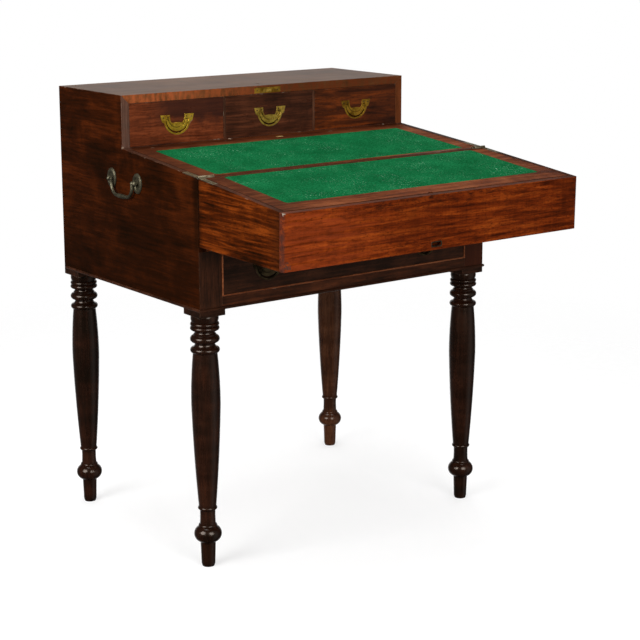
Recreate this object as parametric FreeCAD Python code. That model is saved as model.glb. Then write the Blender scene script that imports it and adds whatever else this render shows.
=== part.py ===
import FreeCAD, Part
import math
import os

Vec = FreeCAD.Vector

# Main sizes in millimetres. The desk faces -Y, and its lid lies open in front as a writing surface.
case_width = 750.0
case_depth = 557.0
lid_depth = 288.0
leg_height = 543.0
front_height = 270.0
slope_rise = 27.0
gallery_height = 110.0
lid_droop_degrees = 1.0

# Boards of the case and the lid
side_thickness = 18.0
rim_width = 12.0
fold_rim = 7.5
top_thickness = 18.0
front_thickness = 18.0
back_thickness = 10.0
bottom_thickness = 12.0
floor_thickness = 8.0
deck_thickness = 12.0
deck_step = 1.0
divider_thickness = 5.0
rail_width = 16.0
rail_depth = 14.0
lid_rear_thickness = 12.0
lid_top_thickness = 12.0
lid_corner = 3.5

# Clearances
seat_gap = 0.3
slide_gap = 0.6
pin_gap = 0.05
rim_gap = 0.6
lid_gap = 3.0
step_gap = 1.5
overrun = 5.0

# Writing flaps and the cloth let into them
flap_thickness = 10.0
flap_gap = 1.5
flap_nose = 3.0
flap_pin_radius = 1.25
flap_pin_reach = 6.0
baize_thickness = 1.2
baize_corner = 7.0
baize_side_border = 38.0
rear_baize_border = 28.0
lid_baize_border = 47.0
baize_nose_border = 0.5
lift_plate_width = 17.0
lift_plate_length = 7.0
lift_plate_thickness = 2.0
lift_plate_offset = 11.0
lift_notch_radius = 6.0
lift_notch_offset = -10.0

# Hinges of L shape, let into the side rims and the rims along the fold
leaf_length = 55.0
leaf_foot_depth = 6.0
leaf_thickness = 1.5
hinge_reach = 37.0
knuckle_radius = 3.2
knuckle_gap = 0.3
hinge_pin_radius = 1.5
end_knuckle_length = 8.0

# Lower drawer and the front frame round it
stile_reach = 53.0
rail_height = 26.0
opening_height = 95.0
large_front_thickness = 20.0
large_back_gap = 32.0
large_wall = 10.0
large_drop = 9.0
cockbead_thickness = 3.0
cockbead_proud = 2.5
large_handle_inset = 114.0
runner_inset = 22.0
guide_height = 20.0

# Three small drawers above the slope
small_front_thickness = 18.0
small_back_gap = 9.0
small_wall = 7.0
small_drop = 6.0
drawer_bottom_thickness = 5.0
drawer_bottom_lift = 3.0

# Flush handles, drawn round their own middle
handle_width = 84.0
handle_height = 43.0
handle_drop = 6.0
plate_thickness = 4.0
bail_thickness = 3.0
bail_set_back = 0.3
bail_pivot_height = 9.7
bail_outer_half = 27.0
bail_inner_half = 22.0
bail_outer_drop = 14.5
bail_inner_drop = 6.5
bail_clearance = 1.0
finger_gap = 3.5
finger_depth = 12.0
trunnion_radius = 1.2
trunnion_reach = 3.0
plate_ear_shares = [(0.50, 0.50), (0.449, 0.167), (0.385, 0.093)]
plate_inner_shares = [(0.220, 0.50), (0.208, 0.28), (0.186, 0.16), (0.131, 0.085), (0.0, 0.115)]

# Swinging carrying handles on both ends
carry_spread = 104.0
carry_height = 230.5
carry_set_back = 2.0
rose_height = 43.0
rose_width = 35.0
rose_thickness = 3.5
rose_dish = 1.8
post_radius = 4.2
post_reach = 8.5
post_ball_radius = 5.2
carry_pin_radius = 2.2
carry_pin_reach = 4.5
carry_rod_radius = 3.5
carry_swell_radius = 4.7
carry_swell_length = 50.0
carry_swell_sink = 0.6
carry_knuckle_radius = 4.0
carry_arm_inset = 9.7
carry_drop = 32.0
carry_bend = 24.0

# Lock in the front edge of the top board, and its strike in the lid
lock_offset = -6.0
lock_plate_width = 69.0
lock_plate_height = 12.0
lock_plate_thickness = 2.0
lock_plate_margin = 4.5
lock_case_width = 60.0
lock_case_depth = 56.0
lock_wall = 1.5
lock_lift = 2.0
bolt_width = 22.0
bolt_height = 6.0
bolt_length = 34.0
keyhole_radius = 3.2
keyhole_slot_width = 3.0
keyhole_slot_length = 9.0
keyhole_set_back = 40.0
strike_thickness = 2.0
strike_rim = 1.8
strike_corner = 3.0
strike_clearance = 0.8

# Bead along the foot of the case, and the four screwed legs
bead_radius = 3.2
bead_stop = 9.0
block_size = 60.0
block_thickness = 12.0
leg_radius = 30.0
stud_radius = 6.0
stud_in_leg = 30.0
stud_in_case = 10.0

# Turned outline of a leg from the floor up: height share, radius share, and the radius share
# half way to the next point where that stretch is an arc
turning_shares = [
    (0.0, 0.418, None),
    (0.010, 0.475, None),
    (0.099, 0.527, None),
    (0.100, 0.57, 0.95),
    (0.160, 0.646, None),
    (0.161, 0.627, 0.641),
    (0.169, 0.608, None),
    (0.170, 0.551, 0.525),
    (0.229, 0.532, None),
    (0.230, 0.589, 0.665),
    (0.242, 0.589, None),
    (0.243, 0.60, 0.85),
    (0.650, 1.0, 0.96),
    (0.853, 0.83, None),
    (0.854, 0.90, 1.0),
    (0.873, 0.92, 0.735),
    (0.886, 0.68, None),
    (0.893, 0.70, 1.0),
    (0.921, 0.77, None),
    (0.926, 0.77, 0.70),
    (0.934, 0.68, 0.72),
    (0.940, 0.86, 0.99),
    (0.957, 0.88, 0.98),
    (0.972, 0.88, None),
    (0.973, 0.85, None),
    (0.976, 0.85, None),
    (0.977, 0.92, 0.95),
    (1.0, 0.92, None),
]

# Levels and lines that follow from the sizes above
half_width = case_width / 2
inner_half = half_width - side_thickness
rim_half = half_width - rim_width
hinge_start = half_width - hinge_reach
fold_z = leg_height + front_height
slope_top = fold_z + slope_rise
top_z = slope_top + gallery_height
slope_degrees = math.degrees(math.atan2(slope_rise, lid_depth))
slope_cos = math.cos(math.radians(slope_degrees))
slope_sin = math.sin(math.radians(slope_degrees))
slope_length = math.hypot(slope_rise, lid_depth)
rim_level = rim_gap / 2
rim_drop = rim_level / slope_cos
flap_bottom = rim_level + flap_thickness
flap_seat = flap_bottom + seat_gap
flap_start = fold_rim + flap_gap
flap_half = rim_half - flap_gap
inner_back = case_depth - back_thickness
opening_half = half_width - stile_reach
large_handle_x = opening_half - large_handle_inset
opening_bottom = leg_height + rail_height
opening_top = opening_bottom + opening_height
deck_top = slope_top + deck_step
gallery_ceiling = top_z - top_thickness
small_opening = (2 * inner_half - 2 * divider_thickness) / 3
small_pitch = small_opening + divider_thickness
small_front_height = gallery_ceiling - deck_top - seat_gap - slide_gap
small_handle_z = deck_top + seat_gap + small_front_height / 2 - handle_drop
large_front_height = opening_height - seat_gap - slide_gap
large_handle_z = opening_bottom + seat_gap + large_front_height / 2 - handle_drop
lid_rear = lid_depth - step_gap
lid_inside = lid_rear - lid_rear_thickness
lid_open_degrees = 180.0 + lid_droop_degrees
lid_droop_tan = math.tan(math.radians(lid_droop_degrees))
rear_flap_end = slope_length - rail_width - flap_gap
lid_flap_end = (lid_inside + rim_level * slope_sin) / slope_cos - 2 * flap_gap
lock_case_height = bolt_height + 2 * seat_gap + 2 * lock_wall
lock_case_bottom = gallery_ceiling + lock_lift
bolt_z = lock_case_bottom + lock_case_height / 2
carry_y = case_depth / 2 + carry_set_back
carry_z = leg_height + carry_height
leg_inset = block_size / 2
turned_length = leg_height - block_thickness
leg_places = {
    "front_left_leg": (-half_width + leg_inset, leg_inset),
    "front_right_leg": (half_width - leg_inset, leg_inset),
    "rear_left_leg": (-half_width + leg_inset, case_depth - leg_inset),
    "rear_right_leg": (half_width - leg_inset, case_depth - leg_inset),
}

# The desk stands with its floor plan centred on the origin
lid_rear_rise = rim_drop + lid_rear * slope_rise / lid_depth
lid_droop_radians = math.radians(lid_droop_degrees)
lid_reach = lid_rear * math.cos(lid_droop_radians) - lid_rear_rise * math.sin(lid_droop_radians)
origin_shift = (lid_reach - case_depth) / 2
diagonal_share = math.sqrt(0.5)

X_AXIS = Vec(1, 0, 0)
Y_AXIS = Vec(0, 1, 0)
Z_AXIS = Vec(0, 0, 1)
ORIGIN = Vec(0, 0, 0)


# Building helpers
def box(x0, x1, y0, y1, z0, z1):
    return Part.makeBox(x1 - x0, y1 - y0, z1 - z0, Vec(x0, y0, z0))


def rod_x(radius, x0, x1, y, z):
    return Part.makeCylinder(radius, x1 - x0, Vec(x0, y, z), X_AXIS)


def rod_y(radius, y0, y1, x, z):
    return Part.makeCylinder(radius, y1 - y0, Vec(x, y0, z), Y_AXIS)


def rod_z(radius, z0, z1, x, y):
    return Part.makeCylinder(radius, z1 - z0, Vec(x, y, z0), Z_AXIS)


def prism_x(points, x0, x1):
    """A solid between x0 and x1 with an outline given as (y, z) points."""
    corners = [Vec(x0, y, z) for y, z in points]
    wire = Part.makePolygon(corners + corners[:1])
    return Part.Face(wire).extrude(Vec(x1 - x0, 0, 0))


def prism_y(points, y0, y1):
    """A solid between y0 and y1 with an outline given as (x, z) points."""
    corners = [Vec(x, y0, z) for x, z in points]
    wire = Part.makePolygon(corners + corners[:1])
    return Part.Face(wire).extrude(Vec(0, y1 - y0, 0))


def prism_z(points, z0, z1):
    """A solid between z0 and z1 with an outline given as (x, y) points."""
    corners = [Vec(x, y, z0) for x, y in points]
    wire = Part.makePolygon(corners + corners[:1])
    return Part.Face(wire).extrude(Vec(0, 0, z1 - z0))


def mirror_x(shape):
    return shape.mirror(ORIGIN, X_AXIS)


def moved(shape, x, y, z):
    return shape.translated(Vec(x, y, z))


def tilted(shape):
    """Takes a shape drawn along the slope, with the fold line at its origin, to its place."""
    return moved(shape.rotated(ORIGIN, X_AXIS, slope_degrees), 0, 0, fold_z)


def opened(shape):
    """Swings a shape of the closed lid to the open lid."""
    return shape.rotated(Vec(0, 0, fold_z), X_AXIS, lid_open_degrees)


def on_lid(shape):
    """Takes a shape drawn along the slope for the case to the same place in the open lid."""
    return opened(tilted(shape.mirror(ORIGIN, Z_AXIS)))


def slope_point(along, level):
    """The (y, z) of a point along the slope from the fold, at a level square to it."""
    y = along * slope_cos - level * slope_sin
    z = fold_z + along * slope_sin + level * slope_cos
    return (y, z)


def lid_front(z):
    """The closed lid's front face, planed back so that the open lid droops."""
    return lid_gap + (z - fold_z) * lid_droop_tan


# Cuts that the case and the lid share, drawn along the slope on the right
def rim_cuts(flap_end):
    rebate = box(inner_half - overrun, rim_half, fold_rim, flap_end + flap_gap, -flap_seat, overrun)
    pin = rod_x(flap_pin_radius + pin_gap, inner_half, rim_half + flap_pin_reach, *flap_pivot())
    return rebate.fuse([pin, hinge_room()])


def hinge_room():
    """The room for a hinge's leaf and for its knuckles on the fold line."""
    low = -rim_level - leaf_thickness
    leg = box(rim_half, half_width + overrun, -overrun, leaf_length, low, overrun)
    foot = box(hinge_start, half_width + overrun, -overrun, leaf_foot_depth, low, overrun)
    knuckle_start = hinge_start - knuckle_gap
    knuckle = rod_x(knuckle_radius + knuckle_gap, knuckle_start, half_width + overrun, 0, 0)
    return leg.fuse([foot, knuckle])


def flap_pivot():
    """Where the flap's pins lie, along the slope and square to it."""
    return (flap_start + flap_nose, -rim_level - flap_nose)


# Case
def case_side():
    outline = [
        (0, leg_height),
        (case_depth, leg_height),
        (case_depth, top_z),
        (lid_depth, top_z),
        (lid_depth, slope_top - rim_drop),
        (0, fold_z - rim_drop),
    ]
    side = prism_x(outline, inner_half, half_width)
    top_mitre = [(inner_half, gallery_ceiling), (half_width, top_z), (inner_half, top_z)]
    stile_mitre = [(inner_half, 0), (half_width, 0), (inner_half, front_thickness)]
    cuts = [
        prism_y(top_mitre, lid_depth, case_depth),
        prism_z(stile_mitre, leg_height, opening_top),
        tilted(rim_cuts(rear_flap_end)),
    ]
    return side.cut(cuts)


def top_board():
    section = [
        (-half_width, top_z),
        (half_width, top_z),
        (inner_half, gallery_ceiling),
        (-inner_half, gallery_ceiling),
    ]
    board = prism_y(section, lid_depth, case_depth)
    plate_top = top_z - lock_plate_margin
    plate = box(
        lock_offset - lock_plate_width / 2,
        lock_offset + lock_plate_width / 2,
        lid_depth,
        lid_depth + lock_plate_thickness,
        plate_top - lock_plate_height,
        plate_top,
    )
    mortise = box(
        lock_offset - lock_case_width / 2,
        lock_offset + lock_case_width / 2,
        lid_depth + lock_plate_thickness,
        lid_depth + lock_plate_thickness + lock_case_depth,
        gallery_ceiling,
        lock_case_bottom + lock_case_height,
    )
    return board.cut([plate, mortise, keyhole()])


def keyhole():
    y = lid_depth + keyhole_set_back
    bottom = lock_case_bottom + lock_case_height / 2
    barrel = rod_z(keyhole_radius, bottom, top_z + overrun, lock_offset, y)
    slot_half = keyhole_slot_width / 2
    left = lock_offset - slot_half
    right = lock_offset + slot_half
    return barrel.fuse(box(left, right, y - keyhole_slot_length, y, bottom, top_z + overrun))


def back_board():
    return box(-inner_half, inner_half, inner_back, case_depth, leg_height, gallery_ceiling)


def bottom_board():
    top = leg_height + bottom_thickness
    board = box(-inner_half, inner_half, front_thickness, inner_back, leg_height, top)
    holes = [stud_hole(place) for place in leg_places.values()]
    return board.cut(holes)


def stud_hole(place):
    low = turned_length - stud_in_leg
    high = leg_height + stud_in_case
    return rod_z(stud_radius + pin_gap, low, high, *place)


def front_board():
    ledge = -flap_seat
    outline = [
        (0, opening_top),
        (front_thickness, opening_top),
        (front_thickness, slope_point(front_thickness, ledge)[1]),
        slope_point(fold_rim, ledge),
        slope_point(fold_rim, -rim_level),
        (0, fold_z - rim_drop),
    ]
    room = tilted(hinge_room())
    return prism_x(outline, -inner_half, inner_half).cut([room, mirror_x(room)])


def front_stiles():
    """The two uprights beside the lower drawer, mitred with the sides."""
    plan = [
        (opening_half, 0),
        (half_width, 0),
        (inner_half, front_thickness),
        (opening_half, front_thickness),
    ]
    right = prism_z(plan, leg_height, opening_top)
    return [right, mirror_x(right)]


def bottom_rail():
    return box(-opening_half, opening_half, 0, front_thickness, leg_height, opening_bottom)


def well_floor():
    top = opening_top + floor_thickness
    return box(-inner_half, inner_half, front_thickness, inner_back, opening_top, top)


def drawer_deck():
    return box(-inner_half, inner_half, lid_depth, inner_back, deck_top - deck_thickness, deck_top)


def slope_rail():
    start = slope_length - rail_width
    back_top = slope_top - rim_drop
    outline = [
        slope_point(start, -rim_level),
        (lid_depth, back_top),
        (lid_depth, back_top - rail_depth),
        slope_point(start, -rim_level - rail_depth),
    ]
    return prism_x(outline, -inner_half, inner_half)


def drawer_dividers():
    middle = small_pitch / 2
    half = divider_thickness / 2
    right = box(middle - half, middle + half, lid_depth, inner_back, deck_top, gallery_ceiling)
    return [right, mirror_x(right)]


def drawer_runners():
    base_bottom = leg_height + bottom_thickness
    start = opening_half - runner_inset
    base = box(start, inner_half, front_thickness, inner_back, base_bottom, opening_bottom)
    guide_top = opening_bottom + guide_height
    guide = box(opening_half, inner_half, front_thickness, inner_back, opening_bottom, guide_top)
    right = base.fuse(guide).removeSplitter()
    return [right, mirror_x(right)]


def base_bead():
    """A half-round bead along the front and both ends, mitred at the front corners."""
    low = leg_height
    middle = low + bead_radius
    high = low + 2 * bead_radius
    out = half_width + bead_radius
    stop = case_depth - bead_stop
    front = rod_x(bead_radius, -out, out, 0, middle)
    front_plan = [(-half_width, 0), (half_width, 0), (out, -bead_radius), (-out, -bead_radius)]
    side = rod_y(bead_radius, -bead_radius, stop, half_width, middle)
    side_plan = [(half_width, 0), (half_width, stop), (out, stop), (out, -bead_radius)]
    right = side.common(prism_z(side_plan, low, high))
    return [front.common(prism_z(front_plan, low, high)), right, mirror_x(right)]


# Legs
def leg_blocks():
    half = block_size / 2
    blocks = []
    for place in leg_places.values():
        x, y = place
        block = box(x - half, x + half, y - half, y + half, turned_length, leg_height)
        blocks.append(block.cut(stud_hole(place)))
    return blocks


def turned_leg(place):
    """A leg turned about its own axis, from the shares of its length and radius."""
    points = [(radius * leg_radius, height * turned_length) for height, radius, _ in turning_shares]
    edges = [Part.LineSegment(ORIGIN, Vec(points[0][0], 0, 0)).toShape()]
    for (low, high), (_, _, bulge) in zip(zip(points, points[1:]), turning_shares):
        start = Vec(low[0], 0, low[1])
        end = Vec(high[0], 0, high[1])
        if bulge is None:
            edges.append(Part.LineSegment(start, end).toShape())
        else:
            middle = Vec(bulge * leg_radius, 0, (low[1] + high[1]) / 2)
            edges.append(Part.Arc(start, middle, end).toShape())
    top = Vec(0, 0, turned_length)
    edges.append(Part.LineSegment(Vec(points[-1][0], 0, turned_length), top).toShape())
    edges.append(Part.LineSegment(top, ORIGIN).toShape())
    leg = Part.Face(Part.Wire(edges)).revolve(ORIGIN, Z_AXIS, 360)
    return moved(leg, place[0], place[1], 0).cut(stud_hole(place))


def leg_studs():
    low = turned_length - stud_in_leg
    high = leg_height + stud_in_case
    return [rod_z(stud_radius, low, high, *place) for place in leg_places.values()]


# Lid, drawn closed and swung open
def lid_side():
    foot = fold_z + rim_drop
    outline = [
        (lid_front(foot), foot + lid_gap * slope_rise / lid_depth),
        (lid_inside, foot + lid_inside * slope_rise / lid_depth),
        (lid_inside, top_z),
        (lid_front(top_z), top_z),
    ]
    side = prism_x(outline, inner_half, half_width)
    return side.cut(tilted(rim_cuts(lid_flap_end).mirror(ORIGIN, Z_AXIS)))


def lid_top_board():
    low = top_z - lid_top_thickness
    outline = [
        (lid_front(low) + front_thickness, low),
        (lid_inside, low),
        (lid_inside, top_z),
        (lid_front(top_z) + front_thickness, top_z),
    ]
    return opened(prism_x(outline, -inner_half, inner_half))


def lid_front_board():
    """The board that meets the case front when the lid is open, and stops it."""
    ledge_y, ledge_z = slope_point(fold_rim, flap_seat)
    foot = fold_z + rim_drop + lid_gap * slope_rise / lid_depth
    back_ledge = ledge_z + (lid_front(ledge_z) + front_thickness - ledge_y) * slope_rise / lid_depth
    outline = [
        (lid_front(foot), foot),
        slope_point(fold_rim, rim_level),
        (ledge_y, ledge_z),
        (lid_front(back_ledge) + front_thickness, back_ledge),
        (lid_front(top_z) + front_thickness, top_z),
        (lid_front(top_z), top_z),
    ]
    room = tilted(hinge_room().mirror(ORIGIN, Z_AXIS))
    return opened(prism_x(outline, -inner_half, inner_half).cut([room, mirror_x(room)]))


def lid_rear_board():
    """The board that shows in front when the lid is open, with rounded corners at both ends."""
    foot = fold_z + rim_drop
    outline = [
        (lid_inside, foot + lid_inside * slope_rise / lid_depth),
        (lid_rear, foot + lid_rear * slope_rise / lid_depth),
        (lid_rear, top_z),
        (lid_inside, top_z),
    ]
    board = prism_x(outline, -half_width, half_width)
    outer = [edge for edge in board.Edges if edge.BoundBox.YMin > lid_inside + lid_rear_thickness / 2]
    upright = [edge for edge in outer if edge.BoundBox.ZLength > gallery_height / 2]
    board = board.makeFillet(lid_corner, upright)
    return opened(board.cut([strike_blank(), strike_slot(lid_inside)]))


def strike_block(margin, front, corner):
    """A block round the bolt's way into the lid, with a margin on all sides and rounded corners."""
    wide = bolt_width / 2 + margin
    tall = bolt_height / 2 + margin
    block = box(lock_offset - wide, lock_offset + wide, front, lid_rear, bolt_z - tall, bolt_z + tall)
    along = [edge for edge in block.Edges if edge.BoundBox.YLength > (lid_rear - front) / 2]
    return block.makeFillet(corner, along)


def strike_blank():
    return strike_block(strike_clearance + strike_rim, lid_rear - strike_thickness, strike_corner)


def strike_slot(front):
    return strike_block(strike_clearance, front, strike_corner - strike_rim)


def lid_strike():
    return opened(strike_blank().cut(strike_slot(lid_rear - strike_thickness)))


# Writing flaps, drawn along the slope
def flap_panel(flap_end, baize):
    """A panel whose front edge is rounded about its pins, above and below, so that it can turn."""
    top = -rim_level
    pivot_along, pivot_level = flap_pivot()
    under = flap_thickness - flap_nose
    under_angle = math.asin(flap_nose / under)
    under_start = pivot_level - under * math.cos(under_angle)
    under_middle = (
        pivot_along - under * math.sin(under_angle / 2),
        pivot_level - under * math.cos(under_angle / 2),
    )
    turn = flap_nose * diagonal_share
    edges = [
        line_yz((flap_start, pivot_level), (flap_start, under_start)),
        arc_yz([(flap_start, under_start), under_middle, (pivot_along, -flap_bottom)]),
        line_yz((pivot_along, -flap_bottom), (flap_end, -flap_bottom)),
        line_yz((flap_end, -flap_bottom), (flap_end, top)),
        line_yz((flap_end, top), (pivot_along, top)),
        arc_yz([(pivot_along, top), (pivot_along - turn, pivot_level + turn), (flap_start, pivot_level)]),
    ]
    panel = Part.Face(Part.Wire(edges)).extrude(Vec(2 * flap_half, 0, 0))
    panel = moved(panel, -flap_half, 0, 0)
    hole = rod_x(flap_pin_radius + pin_gap, flap_half - flap_pin_reach, flap_half + overrun, *flap_pivot())
    return panel.cut([baize, hole, mirror_x(hole)])


def baize_sheet(flap_end, border):
    start = flap_start + flap_nose + baize_nose_border
    half = flap_half - baize_side_border
    low = -rim_level - baize_thickness
    sheet = box(-half, half, start, flap_end - border, low, -rim_level)
    upright = [edge for edge in sheet.Edges if edge.BoundBox.ZLength > baize_thickness / 2]
    return sheet.makeFillet(baize_corner, upright)


def flap_pins():
    right = rod_x(flap_pin_radius, flap_half - flap_pin_reach, rim_half + flap_pin_reach, *flap_pivot())
    return [right, mirror_x(right)]


def lift_plate():
    half = lift_plate_width / 2
    low = -rim_level - lift_plate_thickness
    start = rear_flap_end - lift_plate_length
    return box(lift_plate_offset - half, lift_plate_offset + half, start, rear_flap_end, low, -rim_level)


def lift_notch():
    return rod_z(lift_notch_radius, -flap_bottom - overrun, overrun, lift_notch_offset, lid_flap_end)


# Hinges, drawn along the slope on the right
def hinge_leaf(barrels, rooms):
    """A leaf along the side rim with a foot along the fold, and the knuckles that are its own."""
    low = -rim_level - leaf_thickness
    leg = box(rim_half, half_width, 0, leaf_length, low, -rim_level)
    foot = box(hinge_start, half_width, 0, leaf_foot_depth, low, -rim_level)
    turns = [rod_x(knuckle_radius, x0, x1, 0, 0) for x0, x1 in barrels]
    clear = [rod_x(knuckle_radius + knuckle_gap, x0, x1, 0, 0) for x0, x1 in rooms]
    bore = rod_x(hinge_pin_radius + pin_gap, hinge_start, half_width, 0, 0)
    return leg.fuse(foot).cut(clear).fuse(turns).cut(bore).removeSplitter()


def case_leaf():
    inside = (hinge_start, hinge_start + end_knuckle_length)
    outside = (half_width - end_knuckle_length, half_width)
    return hinge_leaf([inside, outside], [(inside[1], outside[0])])


def lid_leaf():
    start = hinge_start + end_knuckle_length + knuckle_gap / 2
    end = half_width - end_knuckle_length - knuckle_gap / 2
    return hinge_leaf([(start, end)], [(hinge_start, start), (end, half_width)])


def hinge_pins():
    right = tilted(rod_x(hinge_pin_radius, hinge_start, half_width, 0, 0))
    return [right, mirror_x(right)]


# Lock
def lock_plate():
    top = top_z - lock_plate_margin
    left = lock_offset - lock_plate_width / 2
    back = lid_depth + lock_plate_thickness
    plate = box(left, left + lock_plate_width, lid_depth, back, top - lock_plate_height, top)
    wide = bolt_width / 2 + seat_gap
    tall = bolt_height / 2 + seat_gap
    slot = box(lock_offset - wide, lock_offset + wide, lid_depth, back, bolt_z - tall, bolt_z + tall)
    return plate.cut(slot)


def lock_case():
    front = lid_depth + lock_plate_thickness
    back = front + lock_case_depth
    half = lock_case_width / 2
    top = lock_case_bottom + lock_case_height
    case = box(lock_offset - half, lock_offset + half, front, back, lock_case_bottom, top)
    hollow = box(
        lock_offset - half + lock_wall,
        lock_offset + half - lock_wall,
        front,
        back - lock_wall,
        lock_case_bottom + lock_wall,
        top - lock_wall,
    )
    return case.cut([hollow, keyhole()])


def lock_bolt():
    front = lid_depth + seat_gap
    wide = bolt_width / 2
    tall = bolt_height / 2
    back = front + bolt_length
    return box(lock_offset - wide, lock_offset + wide, front, back, bolt_z - tall, bolt_z + tall)


# Flush handles, drawn in the XZ plane round their own middle and facing -Y
def handle_points(shares):
    return [(x * handle_width, z * handle_height) for x, z in shares]


def plate_outline():
    """The right half of the back plate's outline, then its mirror image, as one wire."""
    ear = handle_points(plate_ear_shares)
    inner = handle_points(plate_inner_shares)
    right = [
        line_xz(ear[2], ear[1]),
        line_xz(ear[1], ear[0]),
        line_xz(ear[0], inner[0]),
        line_xz(inner[0], inner[1]),
        arc_xz(inner[1], inner[2], inner[3]),
    ]
    left = [mirror_x(edge) for edge in right]
    floor = arc_xz(inner[3], inner[4], (-inner[3][0], inner[3][1]))
    below = arc_xz(ear[2], (0, -handle_height / 2), (-ear[2][0], ear[2][1]))
    return Part.Wire(Part.__sortEdges__(right + left + [floor, below]))


def line_xz(start, end):
    return Part.LineSegment(Vec(start[0], 0, start[1]), Vec(end[0], 0, end[1])).toShape()


def arc_xz(start, middle, end):
    points = [Vec(x, 0, z) for x, z in (start, middle, end)]
    return Part.Arc(*points).toShape()


def crescent(outer_half, inner_half_width, outer_drop, inner_drop, level, thickness):
    """A U-shaped bar between two arcs that hang from one level, thickness deep along +Y."""
    outer = arc_xz((-outer_half, level), (0, -outer_drop), (outer_half, level))
    inner = arc_xz((inner_half_width, level), (0, -inner_drop), (-inner_half_width, level))
    right = line_xz((outer_half, level), (inner_half_width, level))
    left = line_xz((-inner_half_width, level), (-outer_half, level))
    return Part.Face(Part.Wire([outer, right, inner, left])).extrude(Vec(0, thickness, 0))


def bail_room(depth):
    """The U-shaped slot that the bail lies in, with a finger gap under its middle."""
    return crescent(
        bail_outer_half + bail_clearance,
        bail_inner_half - bail_clearance,
        bail_outer_drop + finger_gap,
        bail_inner_drop - bail_clearance,
        bail_pivot_height + bail_thickness / 2 + bail_clearance,
        depth,
    )


def trunnions(radius, reach):
    y = bail_set_back + bail_thickness / 2
    right = rod_x(radius, bail_inner_half, bail_outer_half + reach, y, bail_pivot_height)
    return [right, mirror_x(right)]


def handle_plate():
    blank = Part.Face(plate_outline()).extrude(Vec(0, plate_thickness, 0))
    holes = trunnions(trunnion_radius + pin_gap, trunnion_reach + seat_gap)
    return blank.cut([bail_room(plate_thickness)] + holes)


def handle_bail():
    bar = crescent(
        bail_outer_half,
        bail_inner_half,
        bail_outer_drop,
        bail_inner_drop,
        bail_pivot_height,
        bail_thickness,
    )
    bar = moved(bar, 0, bail_set_back, 0)
    y = bail_set_back + bail_thickness / 2
    end = rod_x(bail_thickness / 2, bail_inner_half, bail_outer_half, y, bail_pivot_height)
    ends = [end, mirror_x(end)] + trunnions(trunnion_radius, trunnion_reach)
    return bar.fuse(ends).removeSplitter()


def handle_recess():
    """The room in a drawer front for the plate, with a deeper pocket for fingers behind the bail."""
    blank = Part.Face(plate_outline()).extrude(Vec(0, plate_thickness, 0))
    return blank.fuse(bail_room(finger_depth))


# Drawers
def drawer_box(half, front, back, low, height, wall):
    """Two sides, a back and a bottom, as separate boards behind a drawer front."""
    right = box(half - wall, half, front, back, low, low + height)
    floor = low + drawer_bottom_lift
    rear = box(-half + wall, half - wall, back - wall, back, floor, low + height)
    bottom = box(-half + wall, half - wall, front, back - wall, floor, floor + drawer_bottom_thickness)
    return [right, mirror_x(right), rear, bottom]


def small_drawer(index):
    """The front, box, plate and bail of one small drawer, counted from the left."""
    x = (index - 1) * small_pitch
    half = small_opening / 2 - slide_gap
    low = deck_top + seat_gap
    face_back = lid_depth + small_front_thickness
    back = inner_back - small_back_gap
    front = box(-half, half, lid_depth, face_back, low, low + small_front_height)
    front = front.cut(moved(handle_recess(), 0, lid_depth, small_handle_z))
    boards = drawer_box(half, face_back, back, low, small_front_height - small_drop, small_wall)
    plate = moved(handle_plate(), 0, lid_depth, small_handle_z)
    bail = moved(handle_bail(), 0, lid_depth, small_handle_z)
    return [[moved(piece, x, 0, 0) for piece in group] for group in ([front], boards, [plate], [bail])]


def large_drawer():
    """The front, box, cockbead, plates and bails of the wide lower drawer."""
    half = opening_half - slide_gap
    low = opening_bottom + seat_gap
    high = low + large_front_height
    inset = cockbead_thickness
    front = box(-half + inset, half - inset, 0, large_front_thickness, low + inset, high - inset)
    places = [-large_handle_x, large_handle_x]
    front = front.cut([moved(handle_recess(), x, 0, large_handle_z) for x in places])
    height = large_front_height - large_drop
    back = inner_back - large_back_gap
    boards = drawer_box(half, large_front_thickness, back, low, height, large_wall)
    plates = [moved(handle_plate(), x, 0, large_handle_z) for x in places]
    bails = [moved(handle_bail(), x, 0, large_handle_z) for x in places]
    return [front], boards, cockbead(half, low, high), plates, bails


def cockbead(half, low, high):
    """Four thin strips round the drawer front, with a rounded edge standing proud of it."""
    radius = cockbead_thickness / 2
    nose = radius - cockbead_proud
    strips = []
    for z in (low, high - cockbead_thickness):
        strip = box(-half, half, nose, large_front_thickness, z, z + cockbead_thickness)
        strips.append(strip.fuse(rod_x(radius, -half, half, nose, z + radius)).removeSplitter())
    z0 = low + cockbead_thickness
    z1 = high - cockbead_thickness
    side = box(half - cockbead_thickness, half, nose, large_front_thickness, z0, z1)
    right = side.fuse(rod_z(radius, z0, z1, half - radius, nose)).removeSplitter()
    return strips + [right, mirror_x(right)]


# Carrying handles, drawn for the right end with the face of the side at x = 0
def carry_rose():
    """A dished oval rose with a round-ended post that the bail's pin passes through."""
    tall = rose_height / 2
    dish = rose_thickness - rose_dish
    edges = [
        line_xz((0, 0), (0, tall)),
        line_xz((0, tall), (rose_dish, tall)),
        arc_xz((rose_dish, tall), (rose_thickness, tall - rose_dish), (dish, tall / 2)),
        line_xz((dish, tall / 2), (dish, 0)),
        line_xz((dish, 0), (0, 0)),
    ]
    squeeze = FreeCAD.Matrix()
    squeeze.scale(1, rose_width / rose_height, 1)
    plate = Part.Face(Part.Wire(edges)).revolve(ORIGIN, X_AXIS, 360).transformGeometry(squeeze)
    post = rod_x(post_radius, 0, post_reach, 0, 0)
    ball = Part.makeSphere(post_ball_radius, Vec(post_reach, 0, 0))
    bore = rod_y(carry_pin_radius + pin_gap, -rose_width, rose_width, post_reach, 0)
    return plate.fuse([post, ball]).cut(bore).removeSplitter()


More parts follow.
